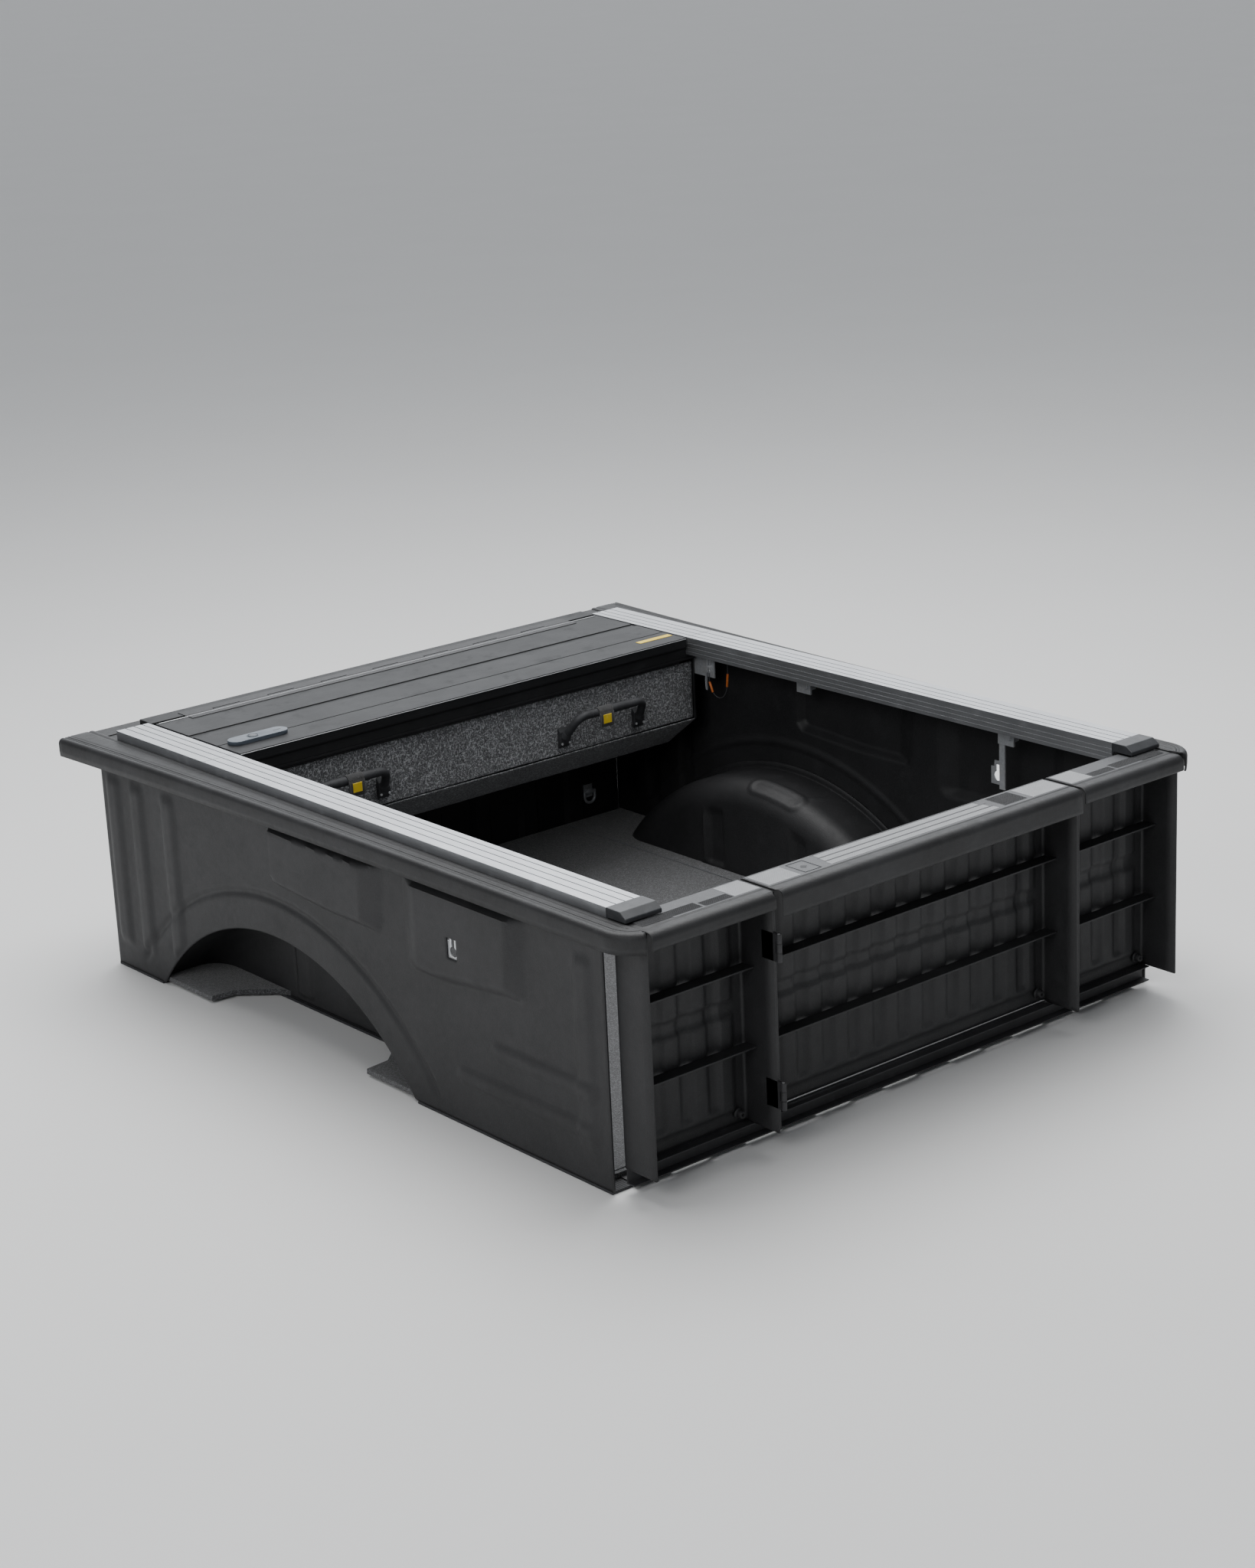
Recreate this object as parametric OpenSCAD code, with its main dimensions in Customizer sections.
// Bed lining set for a pickup: floor mat, moulded walls and caps, retaining rails,
// a hung storage box at the front and a drop tailgate lining with a swing door.
// +X is the truck's right side, +Y points to the cab, +Z is up.

/* [Bed] */
// Length from the tailgate cap's rear face to the bulkhead cap's front edge
bed_len = 2080; // [2070:5:2200]
// Height of the moulded caps above the underside of the lining
cap_top = 580; // [575:1:590]
// Half the clear width between the side walls
wall_half = 800; // [798:1:802]
// Thickness of the moulded wall sheets
wall_t = 6; // [5:0.5:6]
// Thickness of the floor's under-sheet
floor_t = 6; // [5:0.5:7]
// Thickness of the carpeted floor mat
mat_t = 14; // [10:1:15]

/* [Wheelhouses] */
// Radius of the wheelhouse arch
hump_r = 664; // [655:1:668]
// Height of the arch's top above the lining's underside
hump_h = 266; // [255:1:270]
// Where the arch is centred along the bed
hump_y = 265; // [240:5:280]
// Distance from the middle of the bed to a wheelhouse's inner face
hump_x = 645; // [640:1:650]
// Rounding where the arch meets the inner face
hump_round = 60; // [40:5:70]

/* [Caps and rails] */
// Half the width over the bedside caps at the tailgate
cap_half_rear = 838; // [830:1:845]
// How much wider each bedside cap reaches at the cab end
cap_flare = 40; // [20:1:50]
// Height of the skirt that covers the outer sheet's edge
skirt_h = 40; // [30:1:45]
// Top of the retaining rails
rail_top = 603; // [601:1:606]
// Inner edge of each retaining rail
rail_in = 695; // [693:1:697]
// Outer edge of each retaining rail
rail_out = 783; // [780:1:783]

/* [Tailgate] */
// Depth of the tailgate cap from rear face to inner edge
gate_depth = 120; // [118:1:122]
// Half the width of the swing door in the tailgate
door_half = 446; // [440:1:446]

/* [Storage box] */
// Where the box's carpeted face stands along the bed
face_y = 560; // [555:1:565]
// Height of the face's lower edge
face_low = 376; // [374:1:380]
// Half the width of the carpeted face
face_half = 722; // [715:1:722]
// Distance between the middles of a handle's feet
handle_span = 246; // [240:1:260]
// Distance from the middle of the bed to a handle's middle
handle_x = 405; // [380:5:420]

/* [Hidden] */

$fn = 48;
hole_play = 0.05;

// Bed and walls
y_rear = -bed_len / 2;
y_front = bed_len / 2;
liner_rear = y_rear + gate_depth + 8;
wall_front = y_front - 55;
flange_in = 745;
flange_top = cap_top - 6;
cap_t = 3.5;
cap_in = rail_out + 2;
mat_top = floor_t + mat_t;
mat_half = wall_half - 4;
mat_rear = liner_rear + 44;
mat_front = wall_front - 14;

// Wheelhouse arch, turned about a line across the bed
hump_z = hump_h - hump_r;
hump_t = 4;
hump_in_r = hump_r - hump_round;
arch_gap = 14;
foot_half = sqrt(pow(hump_r, 2) - pow(hump_z - floor_t, 2));
face_foot_half = sqrt(pow(hump_in_r, 2) - pow(hump_z - floor_t, 2));

// Recesses moulded in each side wall: [rear, front, low, high]
pockets = [[-165, 245, 380, 520], [-650, -255, 320, 520]];
pocket_depth = 20;

// Bolt holes that fasten the lining to the bed
side_bolt_y = [-700, 880];
side_bolt_z = 150;
side_bolt_r = 4.5;
bulkhead_bolt_x = 600;
bulkhead_bolt_z = 200;
bulkhead_bolt_r = 4.5;

// Bulkhead ribs
rib_pitch = 160;
rib_half = 34;
rib_top_half = 22;
rib_depth = 12;

// Retaining rails and what clamps them
rail_leg_low = 556;
rail_leg_t = 8;
rail_rear = liner_rear + 7;
rail_front = 930;
clamp_y = [-540, 150];
clamp_half = 25;
clamp_face = 738;
keyhole_y = -440;
keyhole_z = 408;
cleat_window = [34, 46];
screw_spots = [[-790, 535], [398, 536], [373, 552]];

// Gap hinge between floor and tailgate
gap_axis_y = -914.5;
gap_axis_z = 13;
gap_barrel_r = 5;
gap_pin_r = 2.5;
gap_bay = 100;
gap_bays = 15;

// Tailgate lining
gate_t = 6;
gate_face = y_rear + gate_depth - 2;
gate_low = 20;
sill_top = 56;
wing_out = 778;
wing_in_left = 454;
wing_in_right = 455;
wing_cap_out = 781;
gate_return = y_rear + 20;
gate_skirt = 35;
door_skirt = 55;
gate_round = 18;

// Swing hinge of the tailgate's door
swing_x = -450;
swing_y = y_rear + 6;
swing_barrel_r = 6;
swing_pin_r = 3;
swing_relief_r = 9;
swing_low = [110, 430];
swing_bay = 20;

// Storage box, seen from the side
box_end_x = 727;
box_end_t = 6;
tray_low = 280;
tray_knee_y = 680;
box_back = 965;
sheet_t = 8;
carpet_t = 4;
box_inner_half = 692;
box_top = 588;
lid_t = 15;
lid_half = 688;
lid_rear = 537;
door_top = 529;
door_t = 16;
door_carpet_t = 5;

// Hinge along the door's top edge
door_axis_y = face_y + 2;
door_axis_z = door_top + 5;
door_barrel_r = 4;
door_pin_r = 2;
door_bay = 80;
door_bays = 17;

// Hinge along the lid's front edge
lid_axis_y = 914;
lid_axis_z = 601;
lid_barrel_r = 3.5;
lid_pin_r = 1.5;
lid_bay = 80;
lid_bays = 15;

// Handles on the face
bar_out = 50;
bar_z = 479;
foot_z = 421;
bar_half = 100;
bar_r = 11;
strap_half = 23;
strap_shift = [8, -27];

// Latch on the lid
latch_x = -586;
latch_y = 616;
latch_half = 80;
latch_r = 23;
latch_t = 9;
button_x = -600;
button_r = 11;

// Quick-release hardware under the rails, outboard of the door's sweep
bracket_x = 733;
lug_x = 739;
clip_x = 729;
pin_y = 505;
pin_z = 520;
release_r = 5;

// Tie-down rings on the bulkhead
ring_x = 690;
ring_z = 92;
ring_out = 11;
ring_r = 18;
ring_wire = 4;
ring_drop = 14;

// Route of the right lanyard, from the clip's lower eye to the rail
lanyard_d = 2;
lanyard_route = [
    [729, 499, 506], [729, 499, 500], [729, 499, 492], [729, 498, 483], [729, 494, 474.3],
    [729, 490, 465.7], [729, 486, 457], [729, 479, 451], [729, 470, 447], [729, 461, 446],
    [729, 451, 449], [729, 443, 455], [729, 437, 463], [729, 433, 472], [729, 430, 482],
    [729, 428.7, 493.7], [729, 427.3, 505.3], [729, 426, 517], [729, 426, 529], [729, 426, 541],
    [729, 426, 552], [729, 426, 563], [729, 426, 574]
];

// Half-width of a bedside cap at a place along the bed
function cap_half(y) = cap_half_rear + cap_flare * pow((y + bed_len / 2) / bed_len, 3);

// Plan of the right bedside cap, drawn in from its outer edge
cap_corner_r = 80;
cap_steps = 20;
corner_x = cap_half_rear - cap_corner_r;
corner_y = y_rear + cap_corner_r;
corner_turn = acos((cap_in - corner_x) / cap_corner_r);
function corner_arc(inset) = [for (i = [0 : 8])
    let (a = -corner_turn * (1 - i / 8))
    [corner_x + (cap_corner_r - inset) * cos(a), corner_y + (cap_corner_r - inset) * sin(a)]];
function cap_edge(inset) = [for (i = [1 : cap_steps])
    let (y = corner_y + (y_front - corner_y) * i / cap_steps) [cap_half(y) - inset, y]];
function cap_plan(inset, inner, front) = concat(
    [[inner, front], [inner, corner_arc(inset)[0][1]]],
    corner_arc(inset), cap_edge(inset), [[cap_edge(inset)[cap_steps - 1][0], front]]);

// Rotation that carries a vertical rod onto a direction
function rod_turn(d) = [0, acos(d[2] / norm(d)), atan2(d[1], d[0])];

// ---- shared shapes ----

// A straight round rod between two points
module rod(from, to, r) {
    translate(from) rotate(rod_turn(to - from)) cylinder(r = r, h = norm(to - from));
}

// The same shape on both sides of the bed
module both_sides() {
    children();
    mirror([1, 0, 0]) children();
}

// A profile drawn in Y and Z, extruded across the bed
module across(x0, x1) {
    translate([x0, 0, 0]) rotate([90, 0, 90]) linear_extrude(height = x1 - x0) children();
}

// A profile drawn in X and Z, extruded along the bed
module along(y0, y1) {
    translate([0, y1, 0]) rotate([90, 0, 0]) linear_extrude(height = y1 - y0) children();
}

// Every second knuckle of a hinge that runs across the bed, with the web that holds it
module knuckles(first, bay, count, y, z, r, pin_r) {
    start = -bay * count / 2;
    for (i = [first : 2 : count - 1]) {
        translate([start + i * bay + 0.3, y, z]) rotate([0, 90, 0]) difference() {
            cylinder(r = r, h = bay - 0.6);
            translate([0, 0, -1]) cylinder(r = pin_r + hole_play, h = bay + 2);
        }
    }
}

// Webs between those knuckles and their leaf: the box's corners in Y and Z
module webs(first, bay, count, low, high, y, z, pin_r) {
    start = -bay * count / 2;
    for (i = [first : 2 : count - 1]) {
        difference() {
            translate([start + i * bay + 0.3, low[0], low[1]])
                cube([bay - 0.6, high[0] - low[0], high[1] - low[1]]);
            translate([start + i * bay - 1, y, z]) rotate([0, 90, 0])
                cylinder(r = pin_r + hole_play, h = bay + 2);
        }
    }
}

// A cord: one tube of eight sides swept along a route that stays near one plane
module cord_tube(route, d) {
    sides = 8;
    last = len(route) - 1;
    function heading(i) = let (v = route[min(i + 1, last)] - route[max(i - 1, 0)]) v / norm(v);
    function ring(i) = let (
        t = heading(i),
        side = let (s = cross(t, [0, -t[2], t[1]])) s / norm(s),
        lift = cross(side, t))
        [for (k = [0 : sides - 1])
            route[i] + d / 2 * (cos(360 * k / sides) * side + sin(360 * k / sides) * lift)];
    points = [for (i = [0 : last]) each ring(i)];
    walls = [for (i = [0 : last - 1], k = [0 : sides - 1])
        [i * sides + k, i * sides + (k + 1) % sides,
         (i + 1) * sides + (k + 1) % sides, (i + 1) * sides + k]];
    ends = [[for (k = [sides - 1 : -1 : 0]) k], [for (k = [0 : sides - 1]) last * sides + k]];
    polyhedron(points = points, faces = concat(walls, ends));
}

// ---- floor ----

module wheel_notch(x0, x1) {
    translate([x0, hump_y - foot_half + 8]) square([x1 - x0, 2 * foot_half - 16]);
}

module floor_underlay() {
    color("#17181a") linear_extrude(height = floor_t) difference() {
        translate([-wall_half - wall_t, liner_rear + 3])
            square([2 * (wall_half + wall_t), wall_front - liner_rear - 3]);
        both_sides() wheel_notch(hump_x + 7, wall_half + wall_t + 1);
    }
}

// Half of the mat's edge beside a wheelhouse, from its inner face to the wall
mat_inset = hump_x - 4;
mat_steps = [[0, 0], [5, 31], [23, 60], [94, 126], [mat_half - mat_inset + 1, 132]];

module floor_mat() {
    front = [for (p = mat_steps) [mat_inset + p[0], hump_y + face_foot_half + p[1]]];
    rear = [for (i = [len(mat_steps) - 1 : -1 : 0])
        [mat_inset + mat_steps[i][0], hump_y - face_foot_half - mat_steps[i][1]]];
    color("#2b2d30") translate([0, 0, floor_t]) linear_extrude(height = mat_t) difference() {
        translate([-mat_half, mat_rear]) square([2 * mat_half, mat_front - mat_rear]);
        both_sides() polygon(concat(rear, front));
    }
}

// ---- walls ----

module bulkhead_sheet() {
    ribs = [for (i = [-4 : 4]) i * rib_pitch];
    outer = [for (x = ribs, p = [[-rib_half, 0], [-rib_top_half, -rib_depth],
        [rib_top_half, -rib_depth], [rib_half, 0]]) [x + p[0], wall_front + p[1]]];
    inner = [for (i = [len(outer) - 1 : -1 : 0]) outer[i] + [0, wall_t]];
    polygon(concat([[-wall_half, wall_front]], outer, [[wall_half, wall_front]],
        [[wall_half, wall_front + wall_t]], inner, [[-wall_half, wall_front + wall_t]]));
}

module bulkhead_liner() {
    color("#141517") difference() {
        union() {
            translate([0, 0, floor_t]) linear_extrude(height = flange_top - floor_t)
                bulkhead_sheet();
            translate([-wall_half, wall_front, flange_top - wall_t])
                cube([2 * wall_half, 48, wall_t]);
        }
        both_sides() translate([bulkhead_bolt_x, wall_front - 1, bulkhead_bolt_z])
            rotate([-90, 0, 0]) cylinder(r = bulkhead_bolt_r, h = wall_t + 2);
    }
}

// A recess moulded outward in the right wall
module pocket_tray(p, grow, deep) {
    translate([wall_half - 1, p[0] - grow, p[2] - grow])
        cube([deep + 1, p[1] - p[0] + 2 * grow, p[3] - p[2] + 2 * grow]);
}

module side_liner() {
    color("#141517") difference() {
        union() {
            along(liner_rear, wall_front) {
                translate([wall_half, floor_t]) square([wall_t, flange_top - floor_t]);
                translate([flange_in, flange_top - wall_t])
                    square([wall_half + wall_t - flange_in, wall_t]);
            }
            intersection() {
                for (p = pockets) pocket_tray(p, wall_t, pocket_depth + wall_t);
                translate([wall_half, -bed_len, 0]) cube([60, 2 * bed_len, cap_top]);
            }
        }
        for (p = pockets) pocket_tray(p, 0, pocket_depth);
        translate([wall_half - 20, hump_y, hump_z]) rotate([0, 90, 0])
            cylinder(r = hump_r - arch_gap, h = 60, $fn = 96);
        for (y = side_bolt_y) translate([wall_half - 10, y, side_bolt_z]) rotate([0, 90, 0])
            cylinder(r = side_bolt_r, h = 40);
        translate([wall_half, keyhole_y - cleat_window[0] / 2, keyhole_z - cleat_window[1] / 2])
            cube([40, cleat_window[0], cleat_window[1]]);
    }
}

// Profile of the wheelhouse cover: radius from the arch's line, then distance across
module hump_profile(r, face, round, back) {
    translate([0, face + round]) square([r, back - face - round]);
    translate([0, face]) square([r - round, round + 1]);
    translate([r - round, face + round]) circle(r = round);
}

module wheelhouse_cover() {
    color("#16171a") intersection() {
        translate([0, hump_y, hump_z]) rotate([0, 90, 0]) rotate_extrude($fn = 96) difference() {
            union() {
                hump_profile(hump_r, hump_x, hump_round, wall_half);
                translate([0, wall_half - 3]) square([hump_r + 20, 3]);
            }
            hump_profile(hump_r - hump_t, hump_x + hump_t, hump_round - hump_t, wall_half + 5);
        }
        translate([0, -bed_len / 2, floor_t]) cube([wall_half, bed_len, cap_top]);
    }
}

// ---- caps and rails ----

module bedside_cap() {
    top_t = 4;
    lip_t = 3;
    color("#101113") union() {
        translate([0, 0, cap_top - top_t]) linear_extrude(height = top_t)
            polygon(cap_plan(0, cap_in, y_front));
        translate([0, 0, cap_top - skirt_h]) linear_extrude(height = skirt_h) difference() {
            polygon(cap_plan(0, cap_in, y_front));
            polygon(cap_plan(cap_t, cap_in - 5, y_front + 1));
        }
        translate([cap_in, liner_rear, flange_top])
            cube([lip_t, wall_front - liner_rear, cap_top - flange_top]);
    }
}

module bulkhead_cap() {
    color("#101113") across(-cap_in + 1, cap_in - 1) {
        translate([wall_front - 4, cap_top - 4]) square([y_front - wall_front + 4, 4]);
        translate([y_front - 4, cap_top - skirt_h]) square([4, skirt_h]);
        translate([wall_front, flange_top]) square([4, 4]);
    }
}

// Section of the right retaining rail, with its grooves and its hollow
module rail_section() {
    groove = 3;
    wall = 3;
    difference() {
        union() {
            translate([rail_in, flange_top]) square([rail_out - rail_in, rail_top - flange_top]);
            translate([rail_in, rail_leg_low]) square([rail_leg_t, rail_top - rail_leg_low]);
        }
        for (x = [rail_in + 16, rail_in + 38, rail_out - 27])
            translate([x, rail_top - 2]) square([groove, 4]);
        for (z = [rail_leg_low + 9, rail_leg_low + 20, rail_leg_low + 31])
            translate([rail_in - 1, z]) square([groove, groove]);
        translate([rail_in + rail_leg_t, flange_top + wall])
            square([rail_out - rail_in - rail_leg_t - wall, rail_top - flange_top - 3 * wall + 1]);
    }
}

module side_rail() {
    seam_y = 545;
    seam_w = 1.6;
    color("#6d7075") difference() {
        along(rail_rear, rail_front) rail_section();
        translate([rail_in - 1, seam_y, rail_top - 1.6]) cube([100, seam_w, 4]);
        translate([rail_in - 1, seam_y, rail_leg_low - 1]) cube([2.6, seam_w, 60]);
    }
}

module rail_end_caps() {
    foot = rail_rear - 8;
    color("#26282b") both_sides() across(rail_in - 4, cap_in) polygon([
        [rail_rear, flange_top], [rail_rear, rail_top + 1], [rail_rear - 42, rail_top + 1],
        [rail_rear - 60, cap_top + 12], [rail_rear - 60, cap_top + 3], [foot, cap_top + 3],
        [foot + 4, flange_top]]);
}

// ---- clamps that hold the rails to the flange ----

// The two bolt places of one clamp
function clamp_holes(y) = [[y - 12, 537], [y + 12, 553]];

module clamp_plates() {
    strut_low = 400;
    color("#b9bcc0") both_sides() for (y = clamp_y) difference() {
        union() {
            translate([clamp_face, y - clamp_half, 514]) cube([5, 2 * clamp_half, 60]);
            if (y < 0) translate([clamp_face + 5, y + 8, strut_low]) cube([4, 18, 158]);
        }
        for (p = clamp_holes(y)) translate([clamp_face - 1, p[0], p[1]])
            rotate([0, 90, 0]) cylinder(r = 4.2, h = 12);
    }
}

module clamp_jaws() {
    lip = flange_top - wall_t;
    color("#b9bcc0") both_sides() for (y = clamp_y)
        difference() {
            along(y - clamp_half, y + (y < 0 ? 6 : clamp_half)) polygon([
                [clamp_face + 5, 526], [clamp_face + 19, 526], [clamp_face + 24, lip - 14],
                [clamp_face + 46, lip - 12], [clamp_face + 46, lip], [clamp_face + 32, lip],
                [clamp_face + 30, lip - 4], [clamp_face + 5, lip - 4]]);
            for (p = clamp_holes(y)) translate([clamp_face, p[0], p[1]])
                rotate([0, 90, 0]) cylinder(r = 4.2, h = 20);
        }
}

module clamp_bolts() {
    color("#c6c8cb") both_sides() for (y = clamp_y, p = clamp_holes(y))
        translate([clamp_face - 7, p[0], p[1]]) rotate([0, 90, 0]) {
            cylinder(r = 8.5, h = 7);
            cylinder(r = 4, h = 20);
        }
}

module tie_down_plates() {
    plate_t = 3;
    color("#c2c5c9") both_sides()
        translate([wall_half + pocket_depth - plate_t, keyhole_y, keyhole_z])
        rotate([90, 0, 90]) linear_extrude(height = plate_t) difference() {
            union() {
                translate([-22, -30]) square([44, 44]);
                translate([-11, 12]) square([22, 18]);
            }
            translate([0, -8]) circle(r = 12);
            translate([-5, -8]) square([10, 28]);
        }
}

module liner_screws() {
    color("#a7aaae") both_sides() for (p = screw_spots)
        translate([wall_half - 6, p[0], p[1]]) rotate([0, 90, 0]) cylinder(r = 8, h = 6);
}

// ---- tie-down rings ----

module ring_brackets() {
    color("#9fa2a6") both_sides() translate([ring_x, wall_front - ring_out, ring_z])
        difference() {
            union() {
                rotate([0, 90, 0]) translate([0, 0, -11]) cylinder(r = 7, h = 22);
                translate([-11, 0, -7]) cube([22, ring_out, 14]);
                translate([-16, ring_out - 4, -18]) cube([32, 4, 36]);
            }
            rotate([0, 90, 0]) translate([0, 0, -12])
                cylinder(r = ring_wire + hole_play, h = 24);
        }
}

module tie_ring(side) {
    color("#b4b7bb") translate([side * ring_x, wall_front - ring_out, ring_z]) {
        rotate([0, 90, 0]) translate([0, 0, -ring_r]) cylinder(r = ring_wire, h = 2 * ring_r);
        for (s = [-1, 1]) translate([s * ring_r, 0, 0]) {
            sphere(r = ring_wire);
            translate([0, 0, -ring_drop]) cylinder(r = ring_wire, h = ring_drop);
        }
        translate([0, 0, -ring_drop]) rotate([90, 0, 0]) rotate([0, 0, 180])
            rotate_extrude(angle = 180) translate([ring_r, 0]) circle(r = ring_wire);
    }
}

// ---- gap hinge between floor and tailgate ----

module gap_hinge_floor_leaf() {
    leaf_rear = gap_axis_y + gap_barrel_r + 1;
    half = gap_bay * gap_bays / 2;
    color("#4a4c50") union() {
        knuckles(0, gap_bay, gap_bays, gap_axis_y, gap_axis_z, gap_barrel_r, gap_pin_r);
        webs(0, gap_bay, gap_bays, [gap_axis_y - 1, floor_t], [gap_axis_y + 7, gap_axis_z],
            gap_axis_y, gap_axis_z, gap_pin_r);
        translate([-half, leaf_rear, floor_t]) cube([2 * half, mat_rear - leaf_rear - 1, 2.5]);
    }
}

module gap_hinge_gate_leaf() {
    half = gap_bay * gap_bays / 2;
    leaf_t = 2.5;
    color("#4a4c50") union() {
        knuckles(1, gap_bay, gap_bays, gap_axis_y, gap_axis_z, gap_barrel_r, gap_pin_r);
        webs(1, gap_bay, gap_bays, [gate_face, gap_axis_z], [gap_axis_y, gap_axis_z + 6],
            gap_axis_y, gap_axis_z, gap_pin_r);
        translate([-half, gate_face, gap_axis_z + 5.5]) cube([2 * half, leaf_t, 40]);
    }
}

module gap_hinge_pin() {
    half = gap_bay * gap_bays / 2;
    color("#8f9296") translate([-half, gap_axis_y, gap_axis_z]) rotate([0, 90, 0])
        cylinder(r = gap_pin_r, h = 2 * half);
}

// ---- tailgate lining ----

// A lining panel whose two edges turn back around the tailgate
module gate_panel(x0, x1, low) {
    edge = 4;
    height = cap_top - 3.5 - low;
    depth = gate_face - gate_return;
    translate([0, 0, low]) linear_extrude(height = height) difference() {
        translate([x0, gate_return]) square([x1 - x0, depth]);
        translate([x0 + edge, gate_return - 1]) square([x1 - x0 - 2 * edge, depth - gate_t + 1]);
    }
}

// Section of a tailgate cap: rounded rear edge, skirt and inner lip
module gate_cap_section(skirt) {
    module bar(inset, low) {
        r = gate_round - inset;
        back = y_rear + inset;
        top = cap_top - inset;
        front = y_rear + gate_depth - (inset > 0 ? 2 : 0);
        translate([back + r, low]) square([front - back - r, top - low]);
        translate([back, low]) square([r + 1, top - r - low]);
        translate([back + r, top - r]) circle(r = r);
    }
    difference() {
        bar(0, cap_top - skirt);
        bar(cap_t, cap_top - skirt - 1);
    }
}

module swing_relief(r) {
    translate([swing_x, swing_y, 0]) cylinder(r = r, h = cap_top + 10);
}

module tailgate_panels() {
    color("#141517") {
        gate_panel(-wing_out, -wing_in_left, sill_top);
        gate_panel(wing_in_right, wing_out, sill_top);
    }
}

module tailgate_sill() {
    color("#1a1b1e") across(-wing_out, wing_out) difference() {
        translate([gate_face - 24, gate_low]) square([24, sill_top - gate_low]);
        translate([gate_face - 25, gate_low + 3]) square([22, sill_top - gate_low - 6]);
    }
}

module tailgate_caps() {
    color("#101113") {
        difference() {
            across(-wing_cap_out, -wing_in_left) gate_cap_section(gate_skirt);
            swing_relief(swing_relief_r + 1.5);
        }
        across(wing_in_right, wing_cap_out) gate_cap_section(gate_skirt);
    }
}

module tailgate_door_panel() {
    color("#141517") gate_panel(-door_half, door_half, sill_top + 6);
}

module tailgate_door_cap() {
    color("#101113") difference() {
        across(-door_half, door_half) gate_cap_section(door_skirt);
        swing_relief(swing_relief_r);
    }
}

// One side of the upright hinges; side is -1 for the wing and 1 for the door
module swing_leaves(side, bays) {
    leaf_in = side < 0 ? -4 : 2;
    web_in = side < 0 ? -4 : 0;
    for (low = swing_low) translate([swing_x, swing_y, low]) {
        translate([leaf_in, 7, 0]) cube([2, 40, 3 * swing_bay]);
        for (i = bays) difference() {
            translate([0, 0, i * swing_bay + 0.3]) {
                cylinder(r = swing_barrel_r, h = swing_bay - 0.6);
                translate([web_in, 0, 0]) cube([4, 8, swing_bay - 0.6]);
            }
            translate([0, 0, -1]) cylinder(r = swing_pin_r + hole_play, h = 3 * swing_bay + 2);
        }
    }
}

module swing_hinge_wing_leaves() {
    color("#3b3d40") swing_leaves(-1, [0, 2]);
}

module swing_hinge_door_leaves() {
    color("#3b3d40") swing_leaves(1, [1]);
}

module swing_hinge_pins() {
    color("#8f9296") for (low = swing_low) translate([swing_x, swing_y, low])
        cylinder(r = swing_pin_r, h = 3 * swing_bay);
}

// ---- storage box ----

module tray_section(top) {
    polygon([[face_y + 2, face_low - 4], [tray_knee_y, tray_low + 4], [box_back - 4, tray_low + 4],
        [box_back - 4, top], [box_back - 4 - sheet_t, top], [box_back - 4 - sheet_t, tray_low + 12],
        [tray_knee_y + 3, tray_low + 12], [face_y + 16, face_low - 4]]);
}

module box_tray() {
    color("#202124") union() {
        across(-box_end_x, box_end_x) tray_section(rail_leg_low - 4);
        translate([-box_inner_half, box_back - 4 - sheet_t, rail_leg_low - 5])
            cube([2 * box_inner_half, sheet_t, box_top - rail_leg_low + 5]);
    }
}

module box_tray_carpet() {
    color("#3a3c40") across(-box_end_x, box_end_x) polygon([
        [face_y - 2, face_low - 4], [face_y + 2, face_low - 4], [tray_knee_y, tray_low + 4],
        [box_back - 4, tray_low + 4], [box_back - 4, tray_low], [tray_knee_y - 2, tray_low]]);
}

module box_end(side) {
    x0 = side > 0 ? box_end_x : -box_end_x - box_end_t;
    color("#2c2e31") across(x0, x0 + box_end_t) polygon([
        [face_y, face_low - 4], [tray_knee_y, tray_low], [box_back, tray_low],
        [box_back, flange_top - 2], [face_y, flange_top - 2]]);
}

module box_header_rail() {
    low = door_axis_z + 6;
    back = face_y - 12;
    module tube(x, z0, z1, depth) {
        across(-x, x) difference() {
            translate([back, z0]) square([depth, z1 - z0]);
            translate([back + 3, z0 + 3]) square([depth - 6, z1 - z0 - 6]);
            translate([back - 1, (z0 + z1) / 2 - 1]) square([2.5, 2]);
        }
    }
    color("#1b1c1f") union() {
        tube(box_end_x, low, rail_leg_low - 2, 42);
        tube(box_inner_half, rail_leg_low - 2, box_top, 42);
    }
}

module box_deck() {
    color("#1b1c1f") {
        translate([-box_inner_half, lid_axis_y + 6, box_top])
            cube([2 * box_inner_half, box_back + 10 - lid_axis_y - 6, lid_t]);
    }
}

module box_hinge_fixed_leaf() {
    half = door_bay * door_bays / 2;
    color("#3b3d40") union() {
        knuckles(0, door_bay, door_bays, door_axis_y, door_axis_z, door_barrel_r, door_pin_r);
        webs(0, door_bay, door_bays, [door_axis_y + 2, door_axis_z],
            [door_axis_y + 4, door_axis_z + 5.5], door_axis_y, door_axis_z, door_pin_r);
        translate([-half, door_axis_y + 2, door_axis_z + 4.5]) cube([2 * half, 24, 1.5]);
    }
}

module box_hinge_door_leaf() {
    half = door_bay * door_bays / 2;
    back = face_y + door_carpet_t;
    color("#3b3d40") union() {
        knuckles(1, door_bay, door_bays, door_axis_y, door_axis_z, door_barrel_r, door_pin_r);
        webs(1, door_bay, door_bays, [back, door_axis_z - 6], [back + 1, door_axis_z],
            door_axis_y, door_axis_z, door_pin_r);
        translate([-half, back, door_top - 36]) cube([2 * half, 1, 36]);
    }
}

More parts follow.
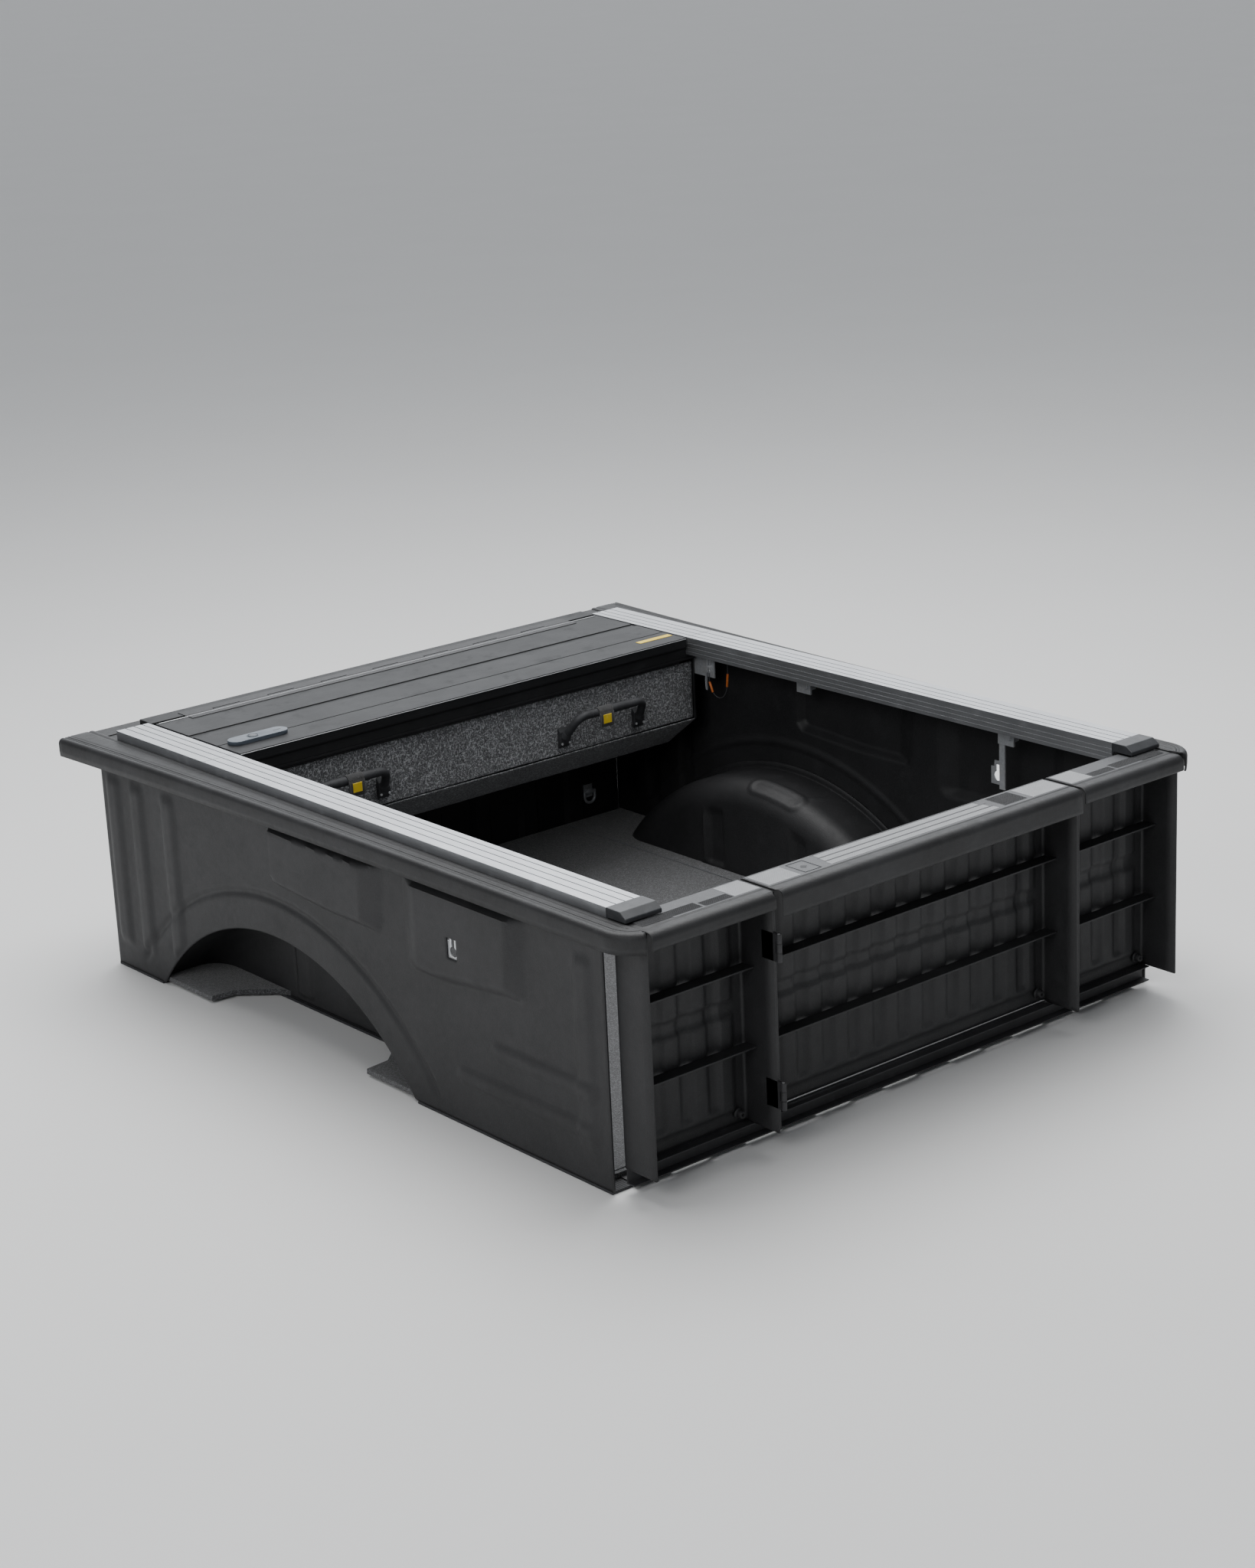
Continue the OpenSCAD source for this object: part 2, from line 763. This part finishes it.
module box_hinge_pins() {
    color("#8f9296") {
        translate([-door_bay * door_bays / 2, door_axis_y, door_axis_z]) rotate([0, 90, 0])
            cylinder(r = door_pin_r, h = door_bay * door_bays);
        translate([-lid_bay * lid_bays / 2, lid_axis_y, lid_axis_z]) rotate([0, 90, 0])
            cylinder(r = lid_pin_r, h = lid_bay * lid_bays);
    }
}

module door_board() {
    front = face_y + door_carpet_t + 1;
    color("#2a2b2e") translate([-face_half, front, face_low + 3])
        cube([2 * face_half, door_t - door_carpet_t - 1, door_top - face_low - 3]);
}

module door_carpet() {
    color("#3a3c40") translate([-face_half, face_y, face_low])
        cube([2 * face_half, door_carpet_t, door_top - face_low]);
}

// A bent grab handle on two chamfered feet
module handle(x) {
    foot_dx = handle_span / 2;
    bar_y = face_y - bar_out;
    color("#232427") union() {
        rod([x - bar_half, bar_y, bar_z], [x + bar_half, bar_y, bar_z], bar_r);
        for (s = [-1, 1]) {
            translate([x + s * bar_half, bar_y, bar_z]) sphere(r = bar_r + 0.6);
            rod([x + s * bar_half, bar_y, bar_z], [x + s * foot_dx, face_y - 10, foot_z + 6],
                bar_r - 0.3);
            across(x + s * foot_dx - 17, x + s * foot_dx + 17) polygon([
                [face_y, foot_z - 26], [face_y, foot_z + 26], [face_y - 4, foot_z + 26],
                [face_y - 12, foot_z + 16], [face_y - 12, foot_z - 16],
                [face_y - 4, foot_z - 26]]);
        }
    }
}

module handle_screws() {
    color("#9a9da1") for (side = [-1, 1], s = [-1, 1], k = [-1, 1])
        translate([side * handle_x + s * (handle_span / 2 + k * 12), face_y - 14, foot_z - 14])
            rotate([-90, 0, 0]) cylinder(r = 3.2, h = 2);
}

module straps() {
    color("#121315") for (i = [0, 1]) {
        x = (i == 0 ? -1 : 1) * handle_x + strap_shift[i];
        translate([x - strap_half, face_y - bar_out, bar_z]) rotate([0, 90, 0]) difference() {
            cylinder(r = bar_r + 2.6, h = 2 * strap_half);
            translate([0, 0, -1]) cylinder(r = bar_r + 0.1, h = 2 * strap_half + 2);
        }
    }
}

module lid_panel() {
    lip = 11;
    front = lid_axis_y - 6;
    top = box_top + lid_t;
    color("#15161a") across(-lid_half, lid_half) difference() {
        union() {
            translate([lid_rear, box_top]) square([front - lid_rear, lid_t]);
            translate([lid_rear, box_top - 10]) square([lip, 12]);
        }
        translate([lid_rear + 92, top - 3]) square([3.5, 4]);
        translate([lid_rear + 200, top - 2.5]) square([22, 4]);
        for (i = [0 : 2])
            translate([lid_rear + 14 + i * 118, box_top + 3]) square([104, lid_t - 7.5]);
    }
}

module lid_hinge_leaf() {
    half = lid_bay * lid_bays / 2;
    top = box_top + lid_t;
    color("#1f2023") union() {
        knuckles(1, lid_bay, lid_bays, lid_axis_y, lid_axis_z, lid_barrel_r, lid_pin_r);
        webs(1, lid_bay, lid_bays, [lid_axis_y - 6, top], [lid_axis_y, top + 1.5],
            lid_axis_y, lid_axis_z, lid_pin_r);
        translate([-half, lid_axis_y - 34, top]) cube([2 * half, 29, 1.5]);
    }
}

module lid_hinge_fixed_leaf() {
    half = lid_bay * lid_bays / 2;
    top = box_top + lid_t;
    color("#1f2023") union() {
        knuckles(0, lid_bay, lid_bays, lid_axis_y, lid_axis_z, lid_barrel_r, lid_pin_r);
        webs(0, lid_bay, lid_bays, [lid_axis_y, top], [lid_axis_y + 6, top + 1.5],
            lid_axis_y, lid_axis_z, lid_pin_r);
        translate([-half, lid_axis_y + 5, top]) cube([2 * half, 29, 1.5]);
    }
}

module latch_base() {
    color("#4d545c") translate([latch_x, latch_y, box_top + lid_t]) difference() {
        union() {
            for (s = [-1, 1]) translate([s * (latch_half - latch_r), 0, 0])
                cylinder(r = latch_r, h = latch_t);
            translate([-latch_half + latch_r, -latch_r, 0])
                cube([2 * (latch_half - latch_r), 2 * latch_r, latch_t]);
        }
        translate([button_x - latch_x, 0, 2]) cylinder(r = button_r + 0.3, h = latch_t);
    }
}

module latch_button() {
    travel = 2.5;
    color("#333940") translate([button_x, latch_y, box_top + lid_t + 2 + travel])
        cylinder(r = button_r, h = latch_t - 3.5);
}

// ---- quick-release hardware ----

module box_mount_brackets() {
    color("#a9acb0") both_sides() difference() {
        translate([bracket_x, pin_y - 22, pin_z - 26]) cube([4, 150, 52]);
        translate([bracket_x - 1, pin_y, pin_z]) rotate([0, 90, 0])
            cylinder(r = release_r + hole_play, h = 6);
    }
}

module rail_lugs() {
    color("#a9acb0") both_sides() difference() {
        union() {
            translate([lug_x, pin_y - 16, pin_z - 14]) cube([4, 32, flange_top - pin_z + 14]);
            translate([lug_x - 18, pin_y - 16, flange_top - 4]) cube([22, 32, 4]);
        }
        translate([lug_x - 1, pin_y, pin_z]) rotate([0, 90, 0])
            cylinder(r = release_r + hole_play, h = 6);
    }
}

module release_pins() {
    color("#c6c8cb") both_sides() difference() {
        translate([clip_x - 4, pin_y, pin_z]) rotate([0, 90, 0]) {
            cylinder(r = release_r, h = 22);
            translate([0, 0, 19]) cylinder(r = 8, h = 3);
        }
        translate([clip_x, pin_y, pin_z - 10]) cylinder(r = 1.3, h = 20);
    }
}

// A hairpin clip: one leg through the pin, the other bent round it
module hairpin_clips() {
    wire = 1.2;
    bend = 6;
    eye_z = pin_z + 28;
    waist = [[-12, 14], [-7.5, 4], [-8, -6], [-10, -9]];
    color("#caccd0") both_sides() union() {
        translate([clip_x, pin_y, pin_z - 12]) cylinder(r = wire, h = eye_z - pin_z + 12);
        translate([clip_x, pin_y - bend, eye_z]) rotate([90, 0, 90])
            rotate_extrude(angle = 180) translate([bend, 0]) circle(r = wire);
        rod([clip_x, pin_y - 2 * bend, eye_z], [clip_x, pin_y - 12, pin_z + 14], wire);
        for (i = [0 : 2]) {
            rod([clip_x, pin_y + waist[i][0], pin_z + waist[i][1]],
                [clip_x, pin_y + waist[i + 1][0], pin_z + waist[i + 1][1]], wire - 0.1);
            translate([clip_x, pin_y + waist[i][0], pin_z + waist[i][1]])
                sphere(r = wire + 0.1);
        }
    }
}

module lanyard() {
    color("#3a3b3d") cord_tube(lanyard_route, lanyard_d);
}

module lanyard_ferrules() {
    color("#d1622a") both_sides() for (p = [[3, 6], [14, 17]])
        difference() {
            rod(lanyard_route[p[0]], lanyard_route[p[1]], 3);
            rod(lanyard_route[p[0]] * 1.5 - lanyard_route[p[1]] * 0.5,
                lanyard_route[p[1]] * 1.5 - lanyard_route[p[0]] * 0.5, 1.9);
        }
}

module pull_tags() {
    tag_l = 50;
    color("#8b8e92") both_sides() translate([clip_x - 1, pin_y - 4, pin_z - 12 - tag_l])
        cube([2, 12, tag_l]);
}

// ---- nodes ----

floor_underlay();
floor_mat();
bulkhead_liner();
mirror([1, 0, 0]) side_liner();  // side_liner_left
side_liner();  // side_liner_right
mirror([1, 0, 0]) wheelhouse_cover();  // wheelhouse_cover_left
wheelhouse_cover();  // wheelhouse_cover_right
mirror([1, 0, 0]) bedside_cap();  // bedside_cap_left
bedside_cap();  // bedside_cap_right
bulkhead_cap();
mirror([1, 0, 0]) side_rail();  // side_rail_left
side_rail();  // side_rail_right
rail_end_caps();
clamp_plates();
clamp_jaws();
clamp_bolts();
tie_down_plates();
liner_screws();
ring_brackets();
gap_hinge_floor_leaf();
gap_hinge_pin();
box_tray();
box_tray_carpet();
box_end(-1);  // box_end_left
box_end(1);  // box_end_right
box_header_rail();
box_deck();
box_hinge_fixed_leaf();
lid_hinge_fixed_leaf();
box_hinge_pins();
box_mount_brackets();
rail_lugs();
release_pins();
hairpin_clips();
mirror([1, 0, 0]) lanyard();  // lanyard_left
lanyard();  // lanyard_right
lanyard_ferrules();
pull_tags();
door_board();
door_carpet();
box_hinge_door_leaf();
handle(-handle_x);  // handle_left
handle(handle_x);  // handle_right
handle_screws();
straps();
lid_panel();
lid_hinge_leaf();
latch_base();
latch_button();
tailgate_panels();
tailgate_sill();
tailgate_caps();
gap_hinge_gate_leaf();
swing_hinge_wing_leaves();
swing_hinge_pins();
tailgate_door_panel();
tailgate_door_cap();
swing_hinge_door_leaves();
tie_ring(-1);  // tie_ring_left
tie_ring(1);  // tie_ring_right
